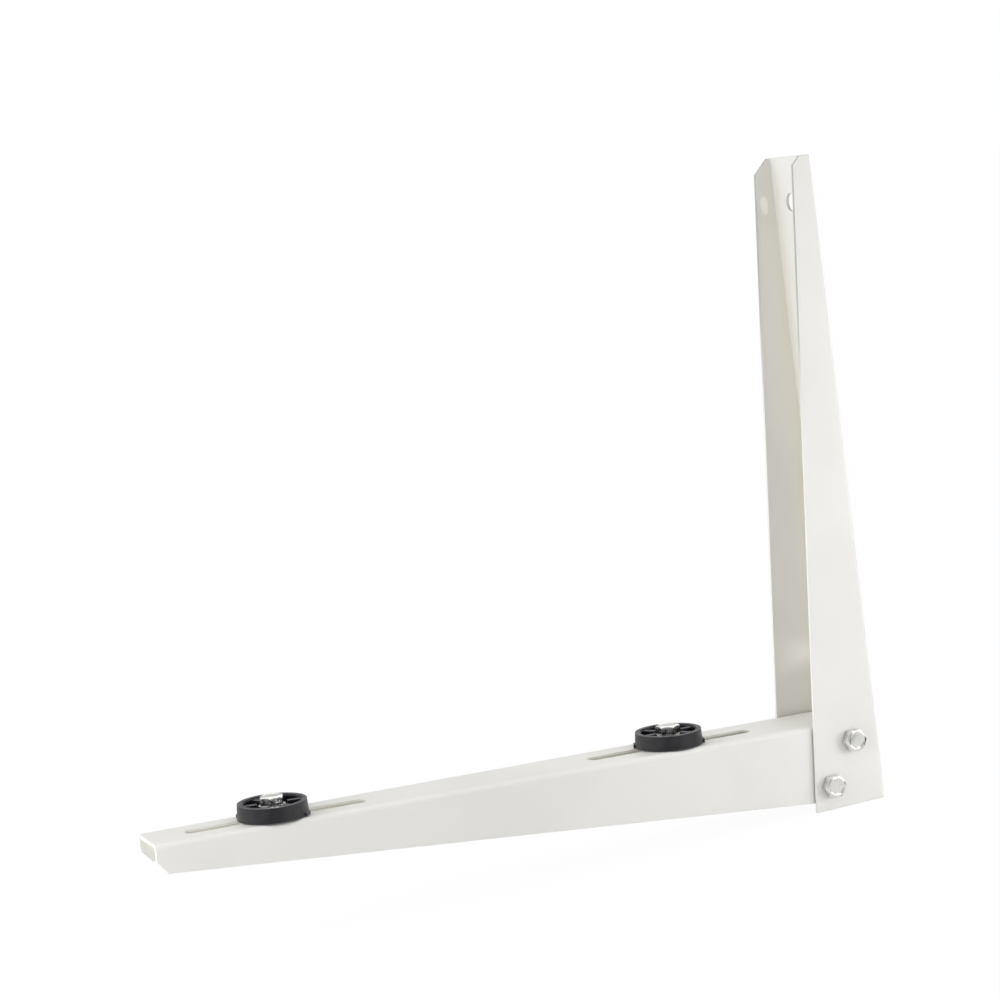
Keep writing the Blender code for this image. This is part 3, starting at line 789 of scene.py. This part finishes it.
def zinc_inputs(tree, finishes):
    """Zinc plated steel: bright, with duller clouds and fine drawn lines."""
    clouds = pattern(tree, *ZINC_CLOUDS)
    return {
        "Base Color": blend(tree, clouds, finishes.zinc, finishes.zinc_shade),
        "Metallic": 1.0,
        "Roughness": pattern(tree, *ZINC_GLOSS, finishes.zinc_roughness),
        "Normal": relief(tree, ZINC_RELIEF),
    }


def rubber_inputs(tree, finishes):
    """Moulded rubber: half matt, with a pale bloom, a fine grain and a painted highlight on its
    edges.
    """
    bloom = pattern(tree, *RUBBER_BLOOM)
    skin = blend(tree, bloom, finishes.rubber, finishes.rubber_bloom)
    return {
        # Painted highlight on the rubber's edges
        "Base Color": edge_wear_and_highlight(tree, skin, finishes.rubber_bloom, *RUBBER_EDGE_HIGHLIGHT),
        "Roughness": pattern(tree, *RUBBER_GLOSS, finishes.rubber_roughness),
        "Specular IOR Level": RUBBER_SPECULAR,
        "Normal": relief(tree, RUBBER_RELIEF),
    }


def material_named(scene, name):
    """A finish of the bracket, made the first time it is asked for."""
    finishes = scene.bracket_finishes
    if name in bpy.data.materials:
        return bpy.data.materials[name]
    if name == "bright_zinc_plate":
        return shaded_material(name, lambda tree: zinc_inputs(tree, finishes))
    if name == "black_moulded_rubber":
        return shaded_material(name, lambda tree: rubber_inputs(tree, finishes))
    return shaded_material(name, lambda tree: coat_inputs(tree, name, finishes))


# Shapes of the pieces


def upright_mesh(scene):
    """The channel on the wall, with its chamfers, anchor slots and bolt holes."""
    sizes = scene.bracket_upright
    foot = -sizes.height / 2
    top = sizes.height / 2
    sections = ((foot, sizes.width, sizes.foot_depth), (top, sizes.width, sizes.top_depth))
    upright = folded_channel(
        "upright_blank",
        sections,
        sizes.bend,
        sizes.sheet,
        lambda along, across, down: (down, across, along),
    )
    tools = corner_drills(scene)
    over = CUT_OVERRUN
    for name, side, cut in (
        ("right_corner", 1, sizes.right_chamfer),
        ("left_corner", -1, sizes.left_chamfer),
    ):
        front = sizes.top_depth + (sizes.foot_depth - sizes.top_depth) * cut / sizes.height
        triangle = (
            (front - cut - over, top + over),
            (front + over, top - cut - over),
            (front + over, top + over),
        )
        tools.append(corner_prism(name, triangle, sizes.width / 4, side * sizes.width / 2))
    for name, level in (
        ("upper_anchor", top - sizes.upper_anchor),
        ("lower_anchor", foot + sizes.lower_anchor),
    ):
        outline = [(y, x) for x, y in slot_outline(sizes.anchor_length, sizes.anchor_width)]
        slot = plate(name, [outline], -over, sizes.sheet + over)
        slot.matrix_world = Matrix.Translation((0, 0, level)) @ Matrix.Rotation(math.pi / 2, 4, "Y")
        tools.append(slot)
    return cut_mesh(upright, tools, "upright", scene.bracket_finishes.sheet_edge)


def arm_mesh(scene):
    """The channel that carries the unit, with its slots, tip chamfers and bolt holes."""
    sizes = scene.bracket_arm
    place = arm_place(scene)
    sections = (
        (0, sizes.root_width, sizes.root_depth),
        (sizes.length, sizes.tip_width, sizes.tip_depth),
    )
    arm = folded_channel(
        "arm_blank",
        sections,
        sizes.bend,
        sizes.sheet,
        lambda along, across, down: (along, across, -down),
    )
    arm.matrix_world = place
    over = CUT_OVERRUN
    run = over * sizes.chamfer_length / sizes.chamfer_height
    triangle = (
        (sizes.length - sizes.chamfer_length - run, -sizes.tip_depth - over),
        (sizes.length + run, -sizes.tip_depth + sizes.chamfer_height + over),
        (sizes.length + sizes.chamfer_length + run, -sizes.tip_depth - over),
    )
    corner = corner_prism("tip_corners", triangle, sizes.tip_width, 0)
    corner.matrix_world = place @ corner.matrix_world
    tools = [*corner_drills(scene), corner]
    outline = slot_outline(sizes.slot_length, sizes.slot_width)
    for name, along in (("inner_slot", sizes.inner_slot), ("outer_slot", sizes.outer_slot)):
        slot = plate(name, [outline], -sizes.sheet - over, over)
        slot.matrix_world = place @ Matrix.Translation((along, 0, 0))
        tools.append(slot)
    return cut_mesh(arm, tools, "arm", scene.bracket_finishes.sheet_edge)


def hexagon_prism(name, across_flats, top):
    """A six-sided prism with a corner on +X, from below z = 0 to above a top."""
    radius = across_flats / math.sqrt(3)
    outline = [
        (radius * math.cos(math.tau * i / 6), radius * math.sin(math.tau * i / 6)) for i in range(6)
    ]
    return plate(name, [outline], -CUT_OVERRUN, top + CUT_OVERRUN)


def hex_blank(sizes):
    """A hexagon's face radius, a radius past its corners, and the chamfer's drop there."""
    face = sizes.across_flats / 2 * HEX_FACE_SHARE
    outer = sizes.across_flats / math.sqrt(3) * HEX_BLANK_SHARE
    return face, outer, (outer - face) * math.tan(HEX_CHAMFER)


def threaded_shank(bm, sizes, length_below):
    """Add a shank that hangs below z = 0, threaded for most of its length, to a bmesh."""
    outer = sizes.shank / 2 - THREAD_PLAY
    core = sizes.core / 2
    tip = -length_below
    start = -min(PLAIN_SHARE * length_below, PLAIN_LONGEST)
    tip_radius = core - TIP_STEP
    turn_count = math.ceil((start - tip) / sizes.pitch) + 2
    rows = []
    for j in range(turn_count * len(THREAD_TURN)):
        phase, height = THREAD_TURN[j % len(THREAD_TURN)]
        level = start + sizes.pitch - (j // len(THREAD_TURN) + phase) * sizes.pitch
        row = []
        for i in range(THREAD_SEGMENTS):
            turn = math.tau * i / THREAD_SEGMENTS
            z = level - sizes.pitch * i / THREAD_SEGMENTS
            radius = core + (outer - core) * height
            if z >= start:
                z = start
                radius = outer
            if z <= tip:
                z = tip
                radius = tip_radius
            radius = min(radius, tip_radius + (z - tip))
            row.append(bm.verts.new((radius * math.cos(turn), radius * math.sin(turn), z)))
        rows.append(row)
    per_turn = len(THREAD_TURN)
    for j in range(len(rows) - 1):
        for i in range(THREAD_SEGMENTS):
            if i + 1 < THREAD_SEGMENTS:
                near, far = rows[j][i + 1], rows[j + 1][i + 1]
            elif j + 1 + per_turn < len(rows):
                near, far = rows[j + per_turn][0], rows[j + 1 + per_turn][0]
            else:
                continue
            bm.faces.new((rows[j][i], rows[j + 1][i], far, near))
    turns = [math.tau * i / THREAD_SEGMENTS for i in range(THREAD_SEGMENTS)]
    ring = [bm.verts.new((outer * math.cos(t), outer * math.sin(t), SEAT_GAP)) for t in turns]
    for i in range(THREAD_SEGMENTS):
        after = (i + 1) % THREAD_SEGMENTS
        bm.faces.new((ring[i], rows[0][i], rows[0][after], ring[after]))
    bm.faces.new(ring)
    bm.faces.new(reversed(rows[-1]))
    bmesh.ops.remove_doubles(bm, verts=bm.verts, dist=MERGE_DISTANCE)
    bmesh.ops.dissolve_degenerate(bm, edges=bm.edges, dist=MERGE_DISTANCE)
    loose = [edge for edge in bm.edges if not edge.link_faces]
    bmesh.ops.delete(bm, geom=loose, context="EDGES")
    bmesh.ops.recalc_face_normals(bm, faces=bm.faces)


def bolt_mesh(scene, name, length_below):
    """A hexagon bolt whose head stands on z = 0 and whose shank hangs below it."""
    sizes = scene.bracket_fasteners
    face, outer, drop = hex_blank(sizes)
    top = sizes.head
    low = top - sizes.hollow
    profile = (
        (0, low),
        (sizes.hollow_radius - 2 * sizes.hollow, low),
        (sizes.hollow_radius - sizes.hollow, low + HOLLOW_RISE * sizes.hollow),
        (sizes.hollow_radius, top),
        (face, top),
        (outer, top - drop),
        (outer, 0),
        (0, 0),
    )
    head = turned(name + "_blank", profile, closed=False)
    prism = hexagon_prism(name + "_flats", sizes.across_flats, top)
    head_mesh = cut_mesh(head, [prism], name + "_head", sizes.edge, "INTERSECT")
    bm = bmesh.new()
    threaded_shank(bm, sizes, length_below)
    shank_mesh = mesh_from_bmesh(name + "_shank", bm)
    return head_mesh, shank_mesh


def nut_mesh(scene, name):
    """A hexagon nut that stands on z = 0."""
    sizes = scene.bracket_fasteners
    face, outer, drop = hex_blank(sizes)
    bore = sizes.shank / 2 + SEAT_GAP
    mouth = bore + BORE_CHAMFER
    profile = (
        (face, sizes.nut),
        (outer, sizes.nut - drop),
        (outer, drop),
        (face, 0),
        (mouth, 0),
        (bore, BORE_CHAMFER),
        (bore, sizes.nut - BORE_CHAMFER),
        (mouth, sizes.nut),
    )
    nut = turned(name + "_blank", profile)
    prism = hexagon_prism(name + "_flats", sizes.across_flats, sizes.nut)
    return cut_mesh(nut, [prism], name, sizes.edge, "INTERSECT")


def washer_mesh(scene, name, diameter, sheet):
    """A punched flat washer that stands on z = 0."""
    bore = scene.bracket_fasteners.hole / 2
    profile = ((diameter / 2, sheet), (diameter / 2, 0), (bore, 0), (bore, sheet))
    return finished_mesh(turned(name + "_blank", profile), name, scene.bracket_fasteners.edge)


def pocket_outline(sizes, middle, inner, outer):
    """One pocket between two spokes of even width, as a closed outline round its middle angle."""
    half_gap = math.pi / sizes.spokes
    inner_edge = half_gap - math.asin(sizes.spoke_width / 2 / inner)
    outer_edge = half_gap - math.asin(sizes.spoke_width / 2 / outer)
    outside = arc(0, 0, outer, middle - outer_edge, middle + outer_edge, POCKET_STEPS)
    inside = arc(0, 0, inner, middle + inner_edge, middle - inner_edge, POCKET_STEPS)
    return outside + inside


def damper_mesh(scene):
    """A rubber damper that stands on z = 0, with one spoke on +X and a lug on +Y and on -Y."""
    sizes = scene.bracket_dampers
    top = sizes.height
    inside = sizes.rim_radius - sizes.rim_wall
    spoke_top = top - sizes.spoke_drop
    seat = scene.bracket_fasteners.washer / 2 + sizes.hub_play
    bore = scene.bracket_fasteners.hole / 2
    profile = (
        (sizes.rim_radius, top),
        (sizes.foot_radius, 0),
        (bore, 0),
        (bore, sizes.hub_height),
        (seat, sizes.hub_height),
        (seat, spoke_top),
        (inside, spoke_top),
        (inside, top),
    )
    damper = turned("damper_blank", profile, DAMPER_STEPS)
    middles = [math.tau * (i + 0.5) / sizes.spokes for i in range(sizes.spokes)]
    outlines = [
        pocket_outline(sizes, middle, seat - sizes.spoke_step, inside - sizes.pocket_ledge)
        for middle in middles
    ]
    pockets = plate("pockets", outlines, sizes.floor, top + CUT_OVERRUN)
    add_boolean(damper, pockets, "DIFFERENCE")
    half = sizes.lug_width / 2
    inner = sizes.rim_radius - sizes.rim_wall / 2
    outer = sizes.foot_radius + sizes.lug_reach
    lug_outlines = [
        [(half, side * inner), (half, side * outer), (-half, side * outer), (-half, side * inner)]
        for side in (1, -1)
    ]
    lugs = plate("lugs", lug_outlines, 0, sizes.lug_height)
    add_boolean(damper, lugs, "UNION")
    mesh = finished_mesh(damper, "damper", sizes.edge, DAMPER_EDGE_SEGMENTS)
    remove_objects(pockets, lugs)
    return mesh


def joined(name, *meshes):
    """One mesh that holds the faces of several."""
    bm = bmesh.new()
    for mesh in meshes:
        bm.from_mesh(mesh)
    mesh = mesh_from_bmesh(name, bm)
    mesh.shade_smooth()
    mesh.set_sharp_from_angle(angle=SMOOTH_ANGLE)
    return flattened(mesh, name)


# Operators


class BRACKET_OT_upright(bpy.types.Operator):
    """Build the painted channel that lies on the wall"""

    bl_idname = "bracket.upright"
    bl_label = "Upright"

    def execute(self, context):
        scene = context.scene
        paint = material_named(scene, "warm_white_powder_coat")
        mesh = upright_mesh(scene)
        mesh.materials.append(paint)
        # The second material makes the cut edges darker towards the top and gives them a painted
        # highlight lower down
        mesh.materials.append(material_named(scene, "powder_coat_on_cut_edges"))
        sheet = scene.bracket_upright.sheet
        side = scene.bracket_upright.width / 2 - sheet / 2
        for face in mesh.polygons:
            x, y, _ = face.center
            facing = face.normal.x
            in_web = x < sheet * WEB_SHARE and abs(y) < side - sheet
            in_cheek = x > sheet * CHEEK_SHARE and abs(abs(y) - side) < sheet / 2
            slot_wall = in_web and abs(facing) < EDGE_FACING
            front_edge = in_cheek and facing > EDGE_FACING
            end_edge = abs(face.normal.z) > CUT_FACING
            face.material_index = int(slot_wall or front_edge or end_edge)
        node = "upright_channel"
        dress("painted_upright", mesh, None, "bracket", node, paint)
        return {"FINISHED"}


class BRACKET_OT_arm(bpy.types.Operator):
    """Build the painted channel that carries the unit"""

    bl_idname = "bracket.arm"
    bl_label = "Arm"

    def execute(self, context):
        scene = context.scene
        paint = material_named(scene, "warm_white_powder_coat")
        mesh = arm_mesh(scene)
        mesh.materials.append(paint)
        # The second material puts painted shade on the lower part of the slots' walls
        mesh.materials.append(material_named(scene, "powder_coat_in_slots"))
        sizes = scene.bracket_arm
        reach = sizes.slot_length / 2 + sizes.bend
        half_width = sizes.slot_width * SLOT_SHARE
        slots = (sizes.inner_slot, sizes.outer_slot)
        for face in mesh.polygons:
            along, across, up = face.center
            in_slot = any(abs(along - middle) < reach for middle in slots)
            in_web = -sizes.sheet < up < 0 and abs(across) < half_width
            face.material_index = int(in_slot and in_web and abs(face.normal.z) < CUT_FACING)
        mesh.transform(arm_place(scene))
        dress("painted_arm", mesh, None, "bracket", "arm_channel", paint)
        return {"FINISHED"}


class BRACKET_OT_corner_fasteners(bpy.types.Operator):
    """Build the bolts, washers and nuts that join the arm to the upright"""

    bl_idname = "bracket.corner_fasteners"
    bl_label = "Corner fasteners"

    def execute(self, context):
        scene = context.scene
        sizes = scene.bracket_fasteners
        zinc = material_named(scene, "bright_zinc_plate")
        box_low, box_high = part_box("upper_right_corner_bolt")
        length_below = (box_high.y - box_low.y) - sizes.head
        bolt = joined("corner_bolt", *bolt_mesh(scene, "corner_bolt", length_below))
        washer = washer_mesh(scene, "corner_washer", sizes.washer, sizes.washer_sheet)
        nut = nut_mesh(scene, "corner_nut")
        for level_name, reach, level in corner_bolt_places(scene):
            for side_name, side in (("right", 1), ("left", -1)):
                stem = f"{level_name}_{side_name}_corner_"
                turn = Matrix.Rotation(-side * math.pi / 2, 4, "X")
                for kind, mesh in (("bolt", bolt), ("washer", washer), ("nut", nut)):
                    low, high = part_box(stem + kind)
                    node = stem + kind
                    if kind == "bolt":
                        out = scene.bracket_upright.width / 2 + SEAT_GAP
                    else:
                        out = low.y if side > 0 else -high.y
                    place = Matrix.Translation((reach, side * out, level)) @ turn
                    dress("zinc_" + node, mesh, place, "bracket", node, zinc)
        return {"FINISHED"}


class BRACKET_OT_dampers(bpy.types.Operator):
    """Build the rubber dampers"""

    bl_idname = "bracket.dampers"
    bl_label = "Dampers"

    def execute(self, context):
        scene = context.scene
        rubber = material_named(scene, "black_moulded_rubber")
        mesh = damper_mesh(scene)
        for name, along, turn, _ in damper_places(scene):
            place = damper_place(scene, along, SEAT_GAP, turn)
            node = name + "_damper"
            dress("rubber_" + name, mesh, place, name + "_mount", node, rubber)
        return {"FINISHED"}


class BRACKET_OT_damper_fasteners(bpy.types.Operator):
    """Build the bolts, washers and nuts that clamp the dampers in their slots"""

    bl_idname = "bracket.damper_fasteners"
    bl_label = "Damper fasteners"

    def execute(self, context):
        scene = context.scene
        sizes = scene.bracket_fasteners
        zinc = material_named(scene, "bright_zinc_plate")
        washer_place = SEAT_GAP + scene.bracket_dampers.hub_height + SEAT_GAP
        bolt_place = washer_place + sizes.washer_sheet + SEAT_GAP
        slot_washer_place = -scene.bracket_arm.sheet - SEAT_GAP - sizes.slot_washer_sheet
        nut_place = slot_washer_place - SEAT_GAP - sizes.nut
        length_below = bolt_place - nut_place + sizes.damper_spare
        bolt = joined("damper_bolt", *bolt_mesh(scene, "damper_bolt", length_below))
        washer = washer_mesh(scene, "damper_washer", sizes.washer, sizes.washer_sheet)
        slot_washer = washer_mesh(scene, "slot_washer", sizes.slot_washer, sizes.slot_washer_sheet)
        nut = nut_mesh(scene, "damper_nut")
        for name, along, _, turn in damper_places(scene):
            pieces = (
                ("damper_bolt", bolt, bolt_place, turn),
                ("damper_washer", washer, washer_place, 0),
                ("slot_washer", slot_washer, slot_washer_place, 0),
                ("damper_nut", nut, nut_place, turn),
            )
            for kind, mesh, height, angle_now in pieces:
                place = damper_place(scene, along, height, angle_now)
                node = f"{name}_{kind}"
                dress("zinc_" + node, mesh, place, name + "_mount", node, zinc)
        return {"FINISHED"}


# Stage


def floor_material(settings):
    """A pale floor, nearly plain white to the camera, that still takes the bracket's shadow."""
    material = bpy.data.materials.new("pale_floor")
    tree = node_tree(material)
    seen = add_node(tree, "LightPath", {}).outputs["Is Camera Ray"]
    floor_colour = blend(tree, seen, settings.floor_colour, (1, 1, 1))
    diffuse = add_node(tree, "BsdfDiffuse", {"Color": floor_colour})
    white = add_node(tree, "Emission", {"Color": WHITE})
    centre = (*GLOW_CENTRE, -bpy.context.scene.bracket_upright.height / 2)
    inputs = {0: object_place(tree), 1: centre}
    distance = add_node(tree, "VectorMath", inputs, operation="DISTANCE").outputs["Value"]
    near = ramp(tree, distance, settings.glow, 0.0, 0.0, settings.glow_reach)
    power = times(tree, near, math_node(tree, "SUBTRACT", 1.0, seen))
    glow = add_node(tree, "Emission", {"Color": WHITE, "Strength": power})
    lit = add_node(tree, "AddShader", {0: diffuse.outputs["BSDF"], 1: glow.outputs["Emission"]})
    surface = mix_shaders(tree, times(tree, seen, settings.floor_white), lit, white)
    add_node(tree, "OutputMaterial", {"Surface": surface})
    return material


def make_world(settings):
    """Soft light that is stronger from some sides, and plain white to the camera."""
    world = bpy.data.worlds.new("studio")
    bpy.context.scene.world = world
    tree = node_tree(world)
    coordinates = add_node(tree, "TexCoord", {})
    path = add_node(tree, "LightPath", {})
    glossy = path.outputs["Is Glossy Ray"]

    def lobe(towards, start, end, amount):
        facing = dot_product(tree, coordinates.outputs["Generated"], Vector(towards).normalized())
        return ramp(tree, facing, 0.0, amount, start, end)

    kept = math_node(tree, "SUBTRACT", 1.0, times(tree, glossy, 1.0 - settings.lobe_shine))
    tip = lobe(*TIP_LOBE, settings.tip_side)
    above = lobe(*OVERHEAD_LOBE, settings.overhead)
    total = times(tree, math_node(tree, "ADD", tip, above), kept)
    even = math_node(tree, "ADD", times(tree, glossy, settings.shine), settings.sky)
    total = math_node(tree, "ADD", total, even)
    mirrored = times(tree, lobe(*WALL_SHINE_LOBE, settings.wall_shine), glossy)
    total = math_node(tree, "ADD", total, mirrored)
    for name, side in SIDE_LOBES.items():
        total = math_node(tree, "ADD", lobe(*side, getattr(settings, name)), total)
    light = add_node(tree, "Background", {"Color": WHITE, "Strength": total})
    white = add_node(tree, "Background", {"Color": WHITE})
    surface = mix_shaders(tree, path.outputs["Is Camera Ray"], light, white)
    add_node(tree, "OutputWorld", {"Surface": surface})


def area_lamp(name, place, target, size, power, shines):
    """A soft lamp that faces a target, and may be left out of reflections."""
    lamp = bpy.data.lights.new(name, "AREA")
    lamp.shape = "RECTANGLE"
    lamp.size, lamp.size_y = size
    lamp.energy = power
    piece = new_object(name, lamp)
    piece.location = place
    piece.rotation_euler = (Vector(target) - Vector(place)).to_track_quat("-Z", "Y").to_euler()
    piece.visible_glossy = shines


def dark_card(level):
    """A dark card beside the foot that only shows in polished metal."""
    card = flat_sheet("dark_card", *DARK_CARD_LIMITS, level)
    inputs = {"Base Color": DARK_CARD_COLOUR, "Roughness": DARK_CARD_ROUGHNESS}
    card.data.materials.append(shaded_material("dark_card", lambda tree: inputs))
    card.visible_camera = False
    card.visible_diffuse = False
    card.visible_shadow = False


class BRACKET_OT_stage(bpy.types.Operator):
    """Set up the floor, the light and the camera"""

    bl_idname = "bracket.stage"
    bl_label = "Stage"

    def execute(self, context):
        scene = context.scene
        settings = scene.bracket_stage
        half = settings.floor_size / 2
        level = -scene.bracket_upright.height / 2 - settings.floor_drop
        floor = flat_sheet("floor", -half, half, -half, half, level)
        floor.data.materials.append(floor_material(settings))
        make_world(settings)
        for name, place, target, size, setting, shines in LAMPS:
            area_lamp(name, place, target, size, getattr(settings, setting), shines)
        dark_card(level + DARK_CARD_RISE)
        camera = new_object("camera", bpy.data.cameras.new("camera"))
        camera.location = settings.camera_place
        camera.rotation_euler = settings.camera_turn
        camera.data.lens = settings.lens
        camera.data.clip_start, camera.data.clip_end = CAMERA_CLIP
        scene.camera = camera
        scene.view_settings.view_transform = "Standard"
        return {"FINISHED"}


# Panel and registration


class BRACKET_PT_sidebar(bpy.types.Panel):
    """Buttons and sizes of the bracket"""

    bl_idname = "BRACKET_PT_sidebar"
    bl_label = "Outdoor Unit Bracket"
    bl_space_type = "VIEW_3D"
    bl_region_type = "UI"
    bl_category = "Bracket"

    def draw(self, context):
        layout = self.layout
        for operator in OPERATORS:
            layout.operator(operator.bl_idname)
        for name in GROUPS:
            settings = getattr(context.scene, name)
            box = layout.box()
            for key in settings.__annotations__:
                box.prop(settings, key)


GROUPS = {
    "bracket_upright": UprightSizes,
    "bracket_arm": ArmSizes,
    "bracket_fasteners": FastenerSizes,
    "bracket_dampers": DamperSizes,
    "bracket_finishes": Finishes,
    "bracket_stage": StageSettings,
}
OPERATORS = (
    BRACKET_OT_upright,
    BRACKET_OT_arm,
    BRACKET_OT_corner_fasteners,
    BRACKET_OT_dampers,
    BRACKET_OT_damper_fasteners,
    BRACKET_OT_stage,
)


def register():
    """Register the classes and hang the groups of settings on the scene."""
    for group in GROUPS.values():
        bpy.utils.register_class(group)
    for operator in OPERATORS:
        bpy.utils.register_class(operator)
    bpy.utils.register_class(BRACKET_PT_sidebar)
    for name, group in GROUPS.items():
        setattr(bpy.types.Scene, name, PointerProperty(type=group))


def unregister():
    """Take back what register did."""
    for name in GROUPS:
        delattr(bpy.types.Scene, name)
    bpy.utils.unregister_class(BRACKET_PT_sidebar)
    for operator in reversed(OPERATORS):
        bpy.utils.unregister_class(operator)
    for group in reversed(GROUPS.values()):
        bpy.utils.unregister_class(group)


def write_sizes():
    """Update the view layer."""
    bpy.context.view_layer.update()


def main():
    """Build the bracket and its stage."""
    register()
    bpy.ops.bracket.upright()
    bpy.ops.bracket.arm()
    bpy.ops.bracket.corner_fasteners()
    bpy.ops.bracket.dampers()
    bpy.ops.bracket.damper_fasteners()
    bpy.ops.bracket.stage()
    write_sizes()


if __name__ == "__main__":
    main()
